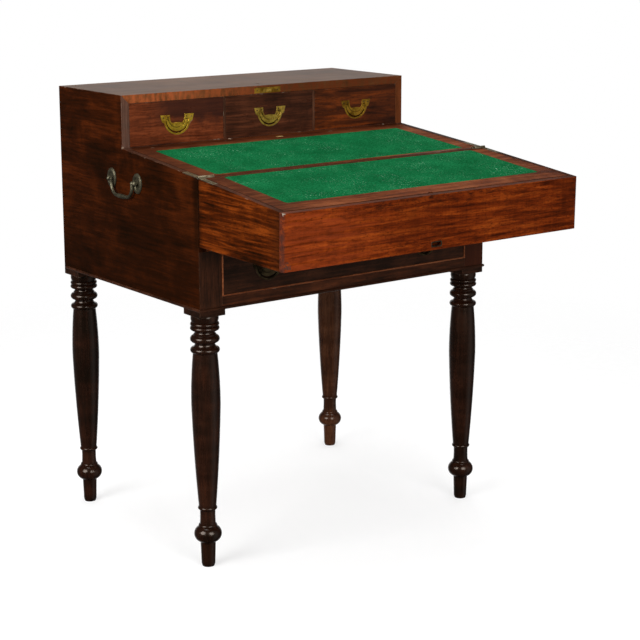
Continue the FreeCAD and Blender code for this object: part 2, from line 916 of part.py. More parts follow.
def carry_bail():
    """A bail bent from rod with a swelling grip, on two pins through the posts."""
    half = carry_spread / 2 - carry_arm_inset
    knee = carry_drop - carry_bend
    corner = half - carry_bend
    turn = carry_bend * diagonal_share
    right_arc = [(half, -knee), (corner + turn, -knee - turn), (corner, -carry_drop)]
    left_arc = [(-corner, -carry_drop), (-corner - turn, -knee - turn), (-half, -knee)]
    edges = [
        line_yz((half, 0), right_arc[0]),
        arc_yz(right_arc),
        line_yz(right_arc[-1], left_arc[0]),
        arc_yz(left_arc),
        line_yz(left_arc[-1], (-half, 0)),
    ]
    section = Part.Wire(Part.makeCircle(carry_rod_radius, Vec(0, half, 0), Z_AXIS))
    bend = Part.Wire(edges).makePipeShell([section], True, False)
    swell_half = carry_swell_length / 2
    grip_end = carry_rod_radius - carry_swell_sink
    grip_edges = [
        line_yr(-swell_half, 0, swell_half, 0),
        line_yr(swell_half, 0, swell_half, grip_end),
        arc_grip(swell_half, grip_end),
        line_yr(-swell_half, grip_end, -swell_half, 0),
    ]
    axis = Vec(0, 0, -carry_drop)
    grip = Part.Face(Part.Wire(grip_edges)).revolve(axis, Y_AXIS, 360)
    knuckles = []
    for side in (1, -1):
        knuckles.append(Part.makeSphere(carry_knuckle_radius, Vec(0, side * half, 0)))
        reach = carry_spread / 2 + carry_pin_reach
        pin = rod_y(carry_pin_radius, 0, reach - half, 0, 0)
        knuckles.append(moved(pin, 0, half if side > 0 else -reach, 0))
    return moved(bend.fuse([grip] + knuckles), post_reach, 0, 0)


def line_yz(start, end):
    return Part.LineSegment(Vec(0, start[0], start[1]), Vec(0, end[0], end[1])).toShape()


def arc_yz(points):
    return Part.Arc(*[Vec(0, y, z) for y, z in points]).toShape()


def line_yr(y0, r0, y1, r1):
    """A line of the grip's outline, at a radius from the grip's axis."""
    return line_yz((y0, r0 - carry_drop), (y1, r1 - carry_drop))


def arc_grip(swell_half, grip_end):
    ends = grip_end - carry_drop
    return arc_yz([(swell_half, ends), (0, carry_swell_radius - carry_drop), (-swell_half, ends)])


def carry_roses():
    roses = []
    for y in (carry_y - carry_spread / 2, carry_y + carry_spread / 2):
        right = moved(carry_rose(), half_width, y, carry_z)
        roses += [right, mirror_x(right)]
    return roses


# Every node with its list of solids
def all_nodes():
    nodes = {}
    side = case_side()
    nodes["right_side"] = [side]
    nodes["left_side"] = [mirror_x(side)]
    nodes["top_board"] = [top_board()]
    nodes["back_board"] = [back_board()]
    nodes["bottom_board"] = [bottom_board()]
    nodes["front_board"] = [front_board()]
    nodes["front_stiles"] = front_stiles()
    nodes["bottom_rail"] = [bottom_rail()]
    nodes["well_floor"] = [well_floor()]
    nodes["drawer_deck"] = [drawer_deck()]
    nodes["slope_rail"] = [slope_rail()]
    nodes["drawer_dividers"] = drawer_dividers()
    nodes["drawer_runners"] = drawer_runners()
    nodes["base_bead"] = base_bead()
    nodes["leg_blocks"] = leg_blocks()
    for name, place in leg_places.items():
        nodes[name] = [turned_leg(place)]
    nodes["leg_studs"] = leg_studs()
    nodes["carry_roses"] = carry_roses()
    nodes["lock_plate"] = [lock_plate()]
    nodes["lock_case"] = [lock_case()]
    nodes["lock_bolt"] = [lock_bolt()]
    nodes["hinge_case_leaves"] = [tilted(case_leaf()), mirror_x(tilted(case_leaf()))]
    nodes["hinge_pins"] = hinge_pins()
    nodes["rear_flap_pins"] = [tilted(pin) for pin in flap_pins()]
    nodes.update(lid_nodes())
    nodes.update(flap_nodes())
    nodes.update(drawer_nodes())
    bail = moved(carry_bail(), half_width, carry_y, carry_z)
    nodes["right_carry_bail"] = [bail]
    nodes["left_carry_bail"] = [mirror_x(bail)]
    return nodes


def lid_nodes():
    side = opened(lid_side())
    leaf = on_lid(lid_leaf())
    return {
        "lid_right_side": [side],
        "lid_left_side": [mirror_x(side)],
        "lid_top_board": [lid_top_board()],
        "lid_front_board": [lid_front_board()],
        "lid_rear_board": [lid_rear_board()],
        "lid_strike": [lid_strike()],
        "hinge_lid_leaves": [leaf, mirror_x(leaf)],
        "lid_flap_pins": [on_lid(pin) for pin in flap_pins()],
    }


def flap_nodes():
    rear_baize = baize_sheet(rear_flap_end, rear_baize_border)
    lid_baize = baize_sheet(lid_flap_end, lid_baize_border)
    rear_flap = flap_panel(rear_flap_end, rear_baize).cut(lift_plate())
    lid_flap = flap_panel(lid_flap_end, lid_baize).cut(lift_notch())
    return {
        "rear_flap": [tilted(rear_flap)],
        "rear_baize": [tilted(rear_baize)],
        "rear_lift_plate": [tilted(lift_plate())],
        "lid_flap": [on_lid(lid_flap)],
        "lid_baize": [on_lid(lid_baize)],
    }


def drawer_nodes():
    nodes = {}
    for index, name in enumerate(("left", "middle", "right")):
        front, boards, plate, bail = small_drawer(index)
        nodes[f"{name}_drawer_front"] = front
        nodes[f"{name}_drawer_box"] = boards
        nodes[f"{name}_handle_plate"] = plate
        nodes[f"{name}_handle_bail"] = bail
    front, boards, bead, plates, bails = large_drawer()
    nodes["large_drawer_front"] = front
    nodes["large_drawer_box"] = boards
    nodes["large_drawer_cockbead"] = bead
    nodes["large_handle_plates"] = plates
    nodes["large_left_bail"] = bails[:1]
    nodes["large_right_bail"] = bails[1:]
    return nodes


def main():
    os.makedirs("parts", exist_ok=True)
    for name, solids in all_nodes().items():
        placed = [moved(solid, 0, origin_shift, 0) for solid in solids]
        shape = placed[0] if len(placed) == 1 else Part.makeCompound(placed)
        shape.exportStep(f"parts/{name}.step")


main()
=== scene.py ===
import math
import bpy
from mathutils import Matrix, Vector, noise

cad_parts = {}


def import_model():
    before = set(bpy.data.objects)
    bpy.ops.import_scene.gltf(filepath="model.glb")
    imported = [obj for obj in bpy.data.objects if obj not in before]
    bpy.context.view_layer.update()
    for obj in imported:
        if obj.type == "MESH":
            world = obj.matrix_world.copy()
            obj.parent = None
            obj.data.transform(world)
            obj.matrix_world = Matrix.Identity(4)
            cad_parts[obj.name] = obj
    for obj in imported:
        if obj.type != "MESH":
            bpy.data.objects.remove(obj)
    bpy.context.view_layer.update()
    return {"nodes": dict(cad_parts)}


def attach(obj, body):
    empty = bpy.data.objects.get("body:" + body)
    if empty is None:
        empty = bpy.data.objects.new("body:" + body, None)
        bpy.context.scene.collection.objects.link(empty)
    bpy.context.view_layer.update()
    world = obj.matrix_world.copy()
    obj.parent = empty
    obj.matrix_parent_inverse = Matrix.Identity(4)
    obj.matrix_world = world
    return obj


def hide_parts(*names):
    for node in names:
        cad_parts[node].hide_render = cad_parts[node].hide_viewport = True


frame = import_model()
nodes = frame["nodes"]

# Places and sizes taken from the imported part, in metres
fold_y = -0.1355
fold_z = 0.813
slope_rise = 0.027
slope_run = 0.288
slope_angle = math.atan2(slope_rise, slope_run)
lid_extra_angle = math.radians(1.0)
lid_angle = slope_angle + lid_extra_angle
rim_level = 0.0003
gallery_y = 0.1525
gallery_floor_z = 0.840
baize_half_width = 0.3235
baize_start = 0.0125
rear_baize_end = 0.2438
lid_baize_end = 0.2257
baize_corner = 0.007
baize_thickness = 0.0012

# Screws, in metres, and the turns of their slots in radians
handle_screw_radius = 0.0020
handle_screw_places = [(0.0345, 0.0155), (0.0230, 0.0165)]
handle_screw_proud = 0.0004
small_handle_z = 0.88035
small_pitch = 0.23967
large_handle_z = 0.61035
large_handle_x = 0.208
lock_x = -0.006
lock_z = 0.9395
lock_screw_spread = 0.027
lock_screw_radius = 0.0018
lock_screw_proud = 0.0003
hinge_screw_x = 0.369
hinge_screw_places = [0.014, 0.030, 0.046]
hinge_screw_radius = 0.0026
lift_x = 0.011
lift_along = 0.2683
lift_screw_spread = 0.0055
lift_screw_radius = 0.0012
slope_screw_proud = 0.0001
handle_side_turn = 0.9
handle_step_turn = 0.7
lock_side_turn = 0.5
hinge_step_turn = 0.8


def srgb(red, green, blue):
    """A linear colour for the shader from eight-bit display values."""
    shares = [value / 255 for value in (red, green, blue)]
    linear = [s / 12.92 if s <= 0.04045 else ((s + 0.055) / 1.055) ** 2.4 for s in shares]
    return (*linear, 1.0)


# Shader building
class Shader:
    """The node tree of a procedural material or of the world, built node by node."""

    def __init__(self, owner):
        owner.use_nodes = True
        self.owner = owner
        self.tree = owner.node_tree

    def feed(self, socket, value):
        if isinstance(value, bpy.types.NodeSocket):
            self.tree.links.new(value, socket)
        else:
            socket.default_value = value

    def node(self, kind, inputs, **settings):
        made = self.tree.nodes.new("ShaderNode" + kind)
        for name, value in settings.items():
            setattr(made, name, value)
        for name, value in inputs.items():
            self.feed(made.inputs[name], value)
        return made

    def set(self, **inputs):
        surface = self.tree.nodes["Principled BSDF"]
        for name, value in inputs.items():
            self.feed(surface.inputs[name.replace("_", " ")], value)

    def place(self, grain="X", offset=(0, 0, 0)):
        """Object coordinates, turned so that their first axis runs along the grain."""
        coords = self.node("TexCoord", {}).outputs["Object"]
        moved = self.node("Mapping", {"Vector": coords, "Location": offset}).outputs["Vector"]
        split = self.node("SeparateXYZ", {"Vector": moved})
        order = {"X": "XYZ", "Y": "YXZ", "Z": "ZXY"}[grain]
        parts = {axis: split.outputs[source] for axis, source in zip("XYZ", order)}
        return self.node("CombineXYZ", parts).outputs["Vector"]

    def scaled(self, vector, scale):
        return self.node("Mapping", {"Vector": vector, "Scale": scale}).outputs["Vector"]

    def noise(self, vector, scale=1.0, detail=3.0, rough=0.5, warp=0.0):
        inputs = {"Vector": vector, "Scale": scale, "Detail": detail, "Roughness": rough, "Distortion": warp}
        return self.node("TexNoise", inputs).outputs[0]

    def grain(self, place, along, across, **settings):
        """Noise drawn out along the grain, from its scale along and across it, per metre."""
        return self.noise(self.scaled(place, (along, across, across)), **settings)

    def calc(self, operation, *values):
        made = self.node("Math", {}, operation=operation)
        for socket, value in zip(made.inputs, values):
            self.feed(socket, value)
        return made.outputs[0]

    def sum(self, first, second):
        return self.calc("ADD", first, second)

    def times(self, first, second):
        return self.calc("MULTIPLY", first, second)

    def span(self, value, low, high, start=0.0, end=1.0):
        """A value clamped between low and high and mapped to a range from start to end."""
        inputs = {"Value": value, "From Min": low, "From Max": high, "To Min": start, "To Max": end}
        return self.node("MapRange", inputs).outputs[0]

    def ramp(self, value, stops):
        made = self.node("ValToRGB", {"Fac": value})
        band = made.color_ramp.elements
        while len(band) < len(stops):
            band.new(0.5)
        for element, (share, colour) in zip(band, stops):
            element.position = share
            element.color = colour
        return made.outputs["Color"]

    def mix(self, share, first, second):
        made = self.node("Mix", {}, data_type="RGBA")
        self.feed(made.inputs[0], share)
        self.feed(made.inputs[6], first)
        self.feed(made.inputs[7], second)
        return made.outputs[2]

    def mix_value(self, share, first, second):
        made = self.node("Mix", {})
        self.feed(made.inputs[0], share)
        self.feed(made.inputs[2], first)
        self.feed(made.inputs[3], second)
        return made.outputs[0]

    def bump(self, height, strength, distance, normal=None):
        inputs = {"Height": height, "Strength": strength, "Distance": distance}
        if normal is not None:
            inputs["Normal"] = normal
        return self.node("Bump", inputs).outputs["Normal"]

    def edges(self, radius):
        """How close a point is to an edge of the shape, and a normal that rounds that edge."""
        round_normal = self.node("Bevel", {"Radius": radius}, samples=6).outputs["Normal"]
        flat = self.node("NewGeometry", {}).outputs["Normal"]
        turned = self.node("VectorMath", {0: round_normal, 1: flat}, operation="DOT_PRODUCT")
        return self.span(turned.outputs["Value"], 0.985, 0.80), round_normal

    def axis(self, name, output="Object"):
        """One axis of a point's place, or of its surface's direction, in the object's own frame."""
        split = self.node("SeparateXYZ", {"Vector": self.node("TexCoord", {}).outputs[output]})
        return split.outputs[name]

    def fade(self, axis, start, end, share=1.0):
        """A mask along an axis: nothing at the start and a share of one at the end, both in metres."""
        return self.span(self.axis(axis), start, end, 0.0, share)

    def facing(self, axis, start, end):
        """A mask by the surface's direction along an axis: nothing at the start and all at the end."""
        return self.span(self.axis(axis, "Normal"), start, end)

    def spot(self, centre, radius):
        """How close a point is to a worn spot with a ragged outline."""
        coords = self.node("TexCoord", {}).outputs["Object"]
        away = self.node("VectorMath", {0: coords, 1: centre}, operation="DISTANCE").outputs["Value"]
        rough_edge = self.noise(coords, scale=240.0, detail=4, rough=0.7)
        ragged = self.sum(away, self.span(rough_edge, 0.3, 0.7, -radius, radius))
        return self.span(ragged, radius, radius / 2)


# Marks on the wood, some of wear and some of painted light and shade: each gives a mask and the colour that
# it lays over the wood
# Dark brown laid on the case's sides as painted shade and painted shadow
painted_shade_brown = srgb(20, 7, 1)


def gallery_end_sheen(s):
    """The front edges of both sides beside the small drawers: greyed on the left by a painted sheen, warm on
    the right.
    """
    front = s.fade("Y", start=gallery_y + 0.0015, end=gallery_y + 0.0005)
    above = s.fade("Z", start=gallery_floor_z - 0.002, end=gallery_floor_z + 0.002)
    streaks = s.span(s.grain(s.place("Z"), along=14, across=420, detail=4), 0.35, 0.65, 0.3, 0.65)
    # Grey of the painted sheen
    sheen_grey = srgb(108, 82, 70)
    warm = srgb(114, 62, 34)
    return s.times(s.times(front, above), streaks), s.mix(s.fade("X", start=-0.1, end=0.1), sheen_grey, warm)


def rims(s):
    """The rims round the writing flaps, which face up and have lost their polish, darker on the right."""
    upward = s.facing("Z", start=0.7, end=0.9)
    patchy = s.span(s.noise(s.place(), scale=45.0, detail=5, rough=0.6), 0.35, 0.65, 0.5, 0.9)
    dry = srgb(66, 43, 33)
    right_dark = srgb(44, 30, 24)
    return s.times(upward, patchy), s.mix(s.fade("X", start=0.30, end=0.36), dry, right_dark)


def side_foot_shade(s):
    """The case's sides grow darker towards their foot: painted shade."""
    return s.fade("Z", start=0.86, end=0.60, share=0.5), painted_shade_brown


def side_fold_shadow(s):
    """The front edge of the case's sides beside the lid, darkened with a painted shadow of the lid."""
    near = s.fade("Y", start=fold_y + 0.022, end=fold_y + 0.010)
    beside = s.fade("Z", start=0.655, end=0.675, share=0.65)
    return s.times(near, beside), painted_shade_brown


def top_edge_highlight(s):
    """The front edge of the top, streaked, with a painted highlight in warm orange on the left."""
    forward = s.facing("Y", start=-0.6, end=-0.9)
    streaks = s.span(s.grain(s.place(), along=130, across=50, detail=5, rough=0.65), 0.35, 0.62, 0.2, 1.0)
    brown = srgb(88, 38, 14)
    # Warm orange of the painted highlight
    highlight_orange = srgb(158, 80, 42)
    return s.times(forward, streaks), s.mix(s.fade("X", start=0.05, end=-0.25, share=0.9), brown, highlight_orange)


def left_drawer_dark_patch(s):
    """A dark purplish patch on the upper right part of the left drawer's front."""
    reach = 0.012
    ragged = s.span(s.noise(s.place(), scale=26.0, detail=4, rough=0.6), 0.3, 0.7, -reach, reach)
    high = s.span(s.sum(s.axis("Z"), ragged), 0.876, 0.898)
    right = s.span(s.sum(s.axis("X"), ragged), -0.318, -0.262)
    strength = 0.85
    return s.times(s.times(high, right), strength), srgb(46, 22, 17)


def right_drawer_shade(s):
    """The right drawer's front grows darker towards its right end."""
    return s.fade("X", start=0.25, end=0.34, share=0.5), srgb(32, 14, 9)


def right_stile_light(s):
    """The right stile of the front, redder than the left one: painted light, where the left one keeps the
    lid's painted shade.
    """
    return s.fade("X", start=0.30, end=0.33, share=0.6), srgb(64, 23, 7)


def flap_ends(s):
    """The left ends of the flaps' wooden borders, darker than the rest."""
    return s.fade("X", start=-0.29, end=-0.335, share=0.42), srgb(46, 22, 10)


def flap_rear(s):
    """The rear edge of the rear flap's border, darker than the rest."""
    return s.fade("Y", start=0.095, end=0.125, share=0.55), srgb(52, 21, 8)


def lid_glow(s):
    """The left part of the open lid's front, brighter and browner than the rest."""
    left = s.fade("X", start=-0.08, end=-0.26, share=0.5)
    streaks = s.span(s.grain(s.place(), along=7, across=130, detail=4, warp=0.7), 0.36, 0.60, 0.1, 1.3)
    return s.times(left, streaks), srgb(136, 55, 22)


def lid_shade(s):
    """The open lid's front grows darker and redder towards the right."""
    return s.fade("X", start=-0.27, end=-0.10, share=0.28), srgb(64, 16, 1)


def lid_blots(s):
    """Dark mottle on the lid's boards, strongest near the upper edge of the open lid's front."""
    middle = s.times(s.fade("X", start=-0.30, end=-0.18), s.fade("X", start=0.26, end=0.08))
    high = s.times(s.fade("Z", start=0.748, end=0.776), middle)
    blots = s.span(s.grain(s.place(), along=38, across=110, detail=5, rough=0.7), 0.49, 0.62)
    strength = s.span(high, 0.0, 1.0, start=0.32, end=0.95)
    return s.times(blots, strength), srgb(40, 12, 3)


def lid_corners(s):
    """The rounded corners at both ends of the open lid's front, worn and dirty."""
    reach = s.calc("ABSOLUTE", s.axis("X"))
    patchy = s.span(s.noise(s.place(), scale=70.0, detail=4, rough=0.7), 0.36, 0.6, 0.25, 0.8)
    return s.times(s.span(reach, 0.3695, 0.3745), patchy), srgb(48, 33, 30)


def lid_side_ends(s):
    """The darker stretch of the lid's sides next to the open lid's front."""
    return s.fade("Y", start=-0.368, end=-0.408, share=0.6), srgb(34, 14, 4)


def lid_fold_shade(s):
    """The ends of the lid's sides beside the fold, darkened with painted shade as dark as the case's edge.
    """
    return s.fade("Y", start=fold_y - 0.018, end=fold_y - 0.002, share=0.6), srgb(22, 8, 1)


# Materials
worn_grey = srgb(126, 98, 80)
chip_grey = srgb(170, 150, 130)
seam_dark = srgb(26, 16, 10)
polish_tint = (1.0, 0.72, 0.5, 1.0)


def wood(name, grain, tones, offset=(0, 0, 0), gloss=0.38, shine=0.16, coat=0.05, wear=0.7,
         stripe=0.34, cloud=0.34, band=92, ripple=34, fleck=0.5, stains=0.45, darkening_share=0.0, relief=0.22,
         haze=0.1, worn_spots=(), wear_and_painted_light_faces=()):
    """Polished mahogany: bands and ripple in the figure, dark flecks, stains and rubbed edges, with face
    marks of wear and of painted light and shade over it.
    """
    fibre_share = 0.2
    wave_share = 1.0 - fibre_share - stripe - cloud
    fibre_height = 0.4
    pore_height = -0.6
    grain_depth = 0.0004
    s = Shader(bpy.data.materials.new(name))
    place = s.place(grain, offset)
    dark, middle, light = tones
    fibre = s.grain(place, along=16, across=330, detail=3, rough=0.65)
    bands = s.grain(place, along=7, across=band, detail=4, rough=0.6, warp=0.7)
    patches = s.grain(place, along=6, across=9, detail=5, rough=0.6, warp=0.5)
    waves = s.grain(place, along=ripple, across=9, detail=3)
    tone = s.sum(s.times(fibre, fibre_share), s.times(bands, stripe))
    tone = s.sum(tone, s.times(patches, cloud))
    tone = s.sum(tone, s.times(waves, wave_share))
    colour = s.ramp(tone, [(0.41, dark), (0.50, middle), (0.61, light)])
    pores = s.span(s.grain(place, along=120, across=430, detail=3, rough=0.6), 0.46, 0.34)
    colour = s.mix(s.times(pores, fleck), colour, dark)
    stain = s.span(s.noise(place, scale=5.5, detail=5, rough=0.6), 0.58, 0.76)
    colour = s.mix(s.times(stain, stains), colour, dark)
    height = s.sum(s.times(fibre, fibre_height), s.times(pores, pore_height))
    smear = s.grain(place, along=9, across=26, detail=5, rough=0.7)
    roughness = s.span(smear, 0.3, 0.7, start=gloss - haze, end=gloss + haze)
    normal = s.bump(height, relief, grain_depth)
    if wear:
        edge, round_normal = s.edges(0.0022)
        rubbed = s.times(edge, s.span(s.noise(place, scale=60.0, detail=4, rough=0.7), 0.40, 0.62))
        rubbed_colour = s.mix(0.6, light, worn_grey)
        colour = s.mix(s.times(rubbed, wear), colour, rubbed_colour)
        chips = s.times(edge, s.span(s.noise(place, scale=42.0, detail=3, rough=0.6), 0.63, 0.68))
        chip_share = 0.6
        colour = s.mix(s.times(chips, chip_share), colour, chip_grey)
        normal = s.bump(height, relief, grain_depth, round_normal)
    # Darker colour along the edges, at the seams round the flaps
    if darkening_share:
        seam, _ = s.edges(0.0034)
        colour = s.mix(s.times(seam, darkening_share), colour, seam_dark)
    for face in wear_and_painted_light_faces:
        share, face_colour = face(s)
        colour = s.mix(share, colour, face_colour)
    for centre, radius, spot_colour in worn_spots:
        colour = s.mix(s.spot(centre, radius), colour, spot_colour)
    s.set(Base_Color=colour, Roughness=roughness, Normal=normal, Coat_Weight=coat, Coat_Roughness=0.14)
    s.set(Specular_IOR_Level=shine, Specular_Tint=polish_tint)
    return s.owner


def lining(name, grain):
    """Bare aged softwood for the boards inside."""
    dark = srgb(104, 68, 42)
    middle = srgb(130, 89, 57)
    light = srgb(152, 109, 72)
    dirt = srgb(70, 46, 30)
    dirt_share = 0.5
    s = Shader(bpy.data.materials.new(name))
    place = s.place(grain)
    rings = s.grain(place, along=1.8, across=44, detail=7, rough=0.65, warp=0.8)
    colour = s.ramp(rings, [(0.3, dark), (0.5, middle), (0.7, light)])
    darkening_share = s.span(s.noise(place, scale=7.0, detail=6, rough=0.65), 0.45, 0.75)
    colour = s.mix(s.times(darkening_share, dirt_share), colour, dirt)
    roughness = s.span(rings, 0.2, 0.8, start=0.6, end=0.8)
    normal = s.bump(rings, strength=0.3, distance=0.0006)
    s.set(Base_Color=colour, Roughness=roughness, Normal=normal)
    return s.owner


def metal(name, bright, dull, dark, gloss, shine=1.0, waves=6.0):
    """Old metal with tarnish in patches, fine scratches and brighter rubbed edges."""
    spot_share = 0.7
    edge_share = 0.6
    scratch_scale = (900, 60, 900)
    s = Shader(bpy.data.materials.new(name))
    place = s.place()
    patch = s.noise(place, scale=62.0, detail=6, rough=0.6, warp=0.4)
    colour = s.mix(s.span(patch, 0.42, 0.60), dull, bright)
    spots = s.span(s.noise(place, scale=260.0, detail=3, rough=0.6), 0.62, 0.72)
    colour = s.mix(s.times(spots, spot_share), colour, dark)
    edge, round_normal = s.edges(0.0006)
    colour = s.mix(s.times(edge, edge_share), colour, bright)
    scratch = s.noise(s.scaled(place, scratch_scale), detail=3, rough=0.7)
    roughness = s.span(patch, 0.3, 0.7, start=gloss + 0.14, end=gloss - 0.06)
    height = s.sum(scratch, s.times(patch, waves))
    normal = s.bump(height, strength=0.2, distance=0.0003, normal=round_normal)
    s.set(Base_Color=colour, Roughness=roughness, Metallic=shine, Normal=normal)
    return s.owner


def baize():
    """Green wool cloth with a short nap, worn patches and pale lint."""
    deep = srgb(2, 58, 28)
    green = srgb(7, 83, 44)
    pale = srgb(26, 106, 64)
    lint_colour = srgb(150, 200, 172)
    nap_share = 0.75
    lint_share = 0.75
    s = Shader(bpy.data.materials.new("baize_cloth"))
    place = s.place()
    nap = s.noise(place, scale=300.0, detail=5, rough=0.75)
    patch = s.noise(place, scale=16.0, detail=5, rough=0.6)
    tone = s.sum(s.times(nap, nap_share), s.times(patch, 1.0 - nap_share))
    colour = s.ramp(tone, [(0.38, deep), (0.50, green), (0.62, pale)])
    lint = s.span(s.noise(place, scale=290.0, detail=4, rough=0.65), 0.605, 0.675)
    crowd = s.span(s.noise(place, scale=11.0, detail=4, rough=0.6), 0.45, 0.66)
    colour = s.mix(s.times(s.times(lint, crowd), lint_share), colour, lint_colour)
    roughness = s.span(patch, 0.3, 0.7, start=0.88, end=0.98)
    normal = s.bump(nap, strength=0.6, distance=0.0005)
    s.set(Base_Color=colour, Roughness=roughness, Normal=normal, Specular_IOR_Level=0.02)
    return s.owner


# Tones of the wood, from dark through middle to light
dark_tones = (srgb(20, 9, 4), srgb(38, 18, 9), srgb(64, 33, 18))
rail_tones = (srgb(30, 13, 5), srgb(56, 26, 12), srgb(88, 44, 22))
side_tones = (srgb(24, 8, 1), srgb(46, 16, 2), srgb(78, 31, 5))
front_tones = (srgb(40, 14, 4), srgb(72, 29, 9), srgb(108, 50, 19))
left_front_tones = (srgb(52, 20, 8), srgb(92, 41, 20), srgb(130, 64, 34))
middle_front_tones = (srgb(34, 15, 8), srgb(58, 28, 16), srgb(90, 47, 28))
right_front_tones = (srgb(34, 13, 6), srgb(66, 28, 10), srgb(112, 49, 14))
divider_tones = (srgb(50, 27, 17), srgb(72, 41, 27), srgb(94, 58, 40))
lid_tones = (srgb(46, 12, 1), srgb(106, 38, 5), srgb(154, 68, 16))
lid_case_tones = (srgb(42, 13, 3), srgb(82, 32, 7), srgb(118, 54, 17))
lid_side_tones = (srgb(27, 9, 1), srgb(69, 24, 1), srgb(120, 52, 8))
rim_tones = (srgb(54, 22, 9), srgb(92, 44, 20), srgb(128, 72, 40))
slope_rail_tones = (srgb(38, 14, 4), srgb(63, 26, 8), srgb(92, 44, 17))
leg_tones = (srgb(17, 8, 4), srgb(31, 14, 7), srgb(49, 24, 13))
# Lighter tones for the rear right leg: painted light
rear_leg_lit_tones = (srgb(40, 20, 11), srgb(64, 35, 20), srgb(90, 55, 35))
top_tones = (srgb(56, 33, 15), srgb(76, 48, 24), srgb(95, 63, 35))
bead_tones = (srgb(74, 36, 18), srgb(114, 62, 36), srgb(152, 92, 58))
base_tones = (srgb(30, 14, 6), srgb(52, 26, 14), srgb(80, 46, 30))

# Worn spots: place and radius in metres, and colour
# Dark colour behind the lid's keyhole slot: painted shade in the hole
keyhole_shade = srgb(14, 8, 5)
lid_spots = [
    ((-0.374, -0.4205, 0.783), 0.0040, srgb(176, 166, 150)),
    ((-0.366, -0.4215, 0.681), 0.0070, srgb(62, 48, 42)),
    ((-0.012, -0.4120, 0.6823), 0.0075, keyhole_shade),
    ((0.0, -0.4120, 0.6823), 0.0075, keyhole_shade),
]
gallery_spot = [((-0.374, 0.153, 0.8415), 0.0030, srgb(140, 120, 104))]
rail_spots = [
    ((-0.108, 0.1505, 0.840), 0.0040, srgb(150, 126, 106)),
    ((0.318, 0.1505, 0.840), 0.0030, srgb(150, 134, 118)),
]

# Figure, polish and wear of each wood, where they differ from the usual ones
side_figure = {
    "shine": 0.04, "coat": 0.0, "stripe": 0.22, "cloud": 0.52, "fleck": 0.3, "stains": 0.25,
    "wear_and_painted_light_faces": [side_foot_shade, side_fold_shadow, gallery_end_sheen, rims], "worn_spots": gallery_spot}
top_figure = {
    "haze": 0.02, "shine": 0.13, "coat": 0.0, "stripe": 0.26, "relief": 0.01, "wear": 0.3,
    "wear_and_painted_light_faces": [top_edge_highlight]}
lid_polish = {"gloss": 0.55, "shine": 0.06, "coat": 0.0, "band": 120, "wear": 0.3}
lid_figure = {
    **lid_polish, "stripe": 0.47, "cloud": 0.25, "ripple": 150, "fleck": 0.7,
    "wear_and_painted_light_faces": [lid_glow, lid_shade, lid_blots, rims, lid_corners], "worn_spots": lid_spots}
lid_case_figure = {**lid_polish, "stripe": 0.40, "cloud": 0.30, "wear_and_painted_light_faces": [lid_blots, rims]}
lid_side_figure = {
    **lid_polish, "shine": 0.04, "stripe": 0.50, "cloud": 0.22, "offset": (0, 0.4, 0.2),
    "wear_and_painted_light_faces": [lid_fold_shade, rims, lid_side_ends]}
front_figure = {"shine": 0.08, "coat": 0.0, "offset": (0, 0, 0.6)}
drawer_figure = {"gloss": 0.32, "shine": 0.12, "wear": 0.3}
dark_patch_figure = {**drawer_figure, "wear_and_painted_light_faces": [left_drawer_dark_patch]}
banded_figure = {
    **drawer_figure, "stripe": 0.50, "cloud": 0.24, "band": 60, "wear_and_painted_light_faces": [right_drawer_shade]}
flap_polish = {"gloss": 0.56, "shine": 0.06, "coat": 0.0}
rail_figure = {**flap_polish, "wear": 0.2, "worn_spots": rail_spots}
flap_figure = {
    **flap_polish, "offset": (0.3, 0.1, 0), "wear": 0.0, "darkening_share": 0.85, "wear_and_painted_light_faces": [flap_ends, flap_rear]}
leg_figure = {"gloss": 0.27, "shine": 0.28, "coat": 0.4, "wear": 0.0, "stripe": 0.2, "fleck": 0.2}
stile_figure = {"wear": 0.15, "wear_and_painted_light_faces": [right_stile_light]}
deck_figure = {"wear": 0.4, "worn_spots": rail_spots}

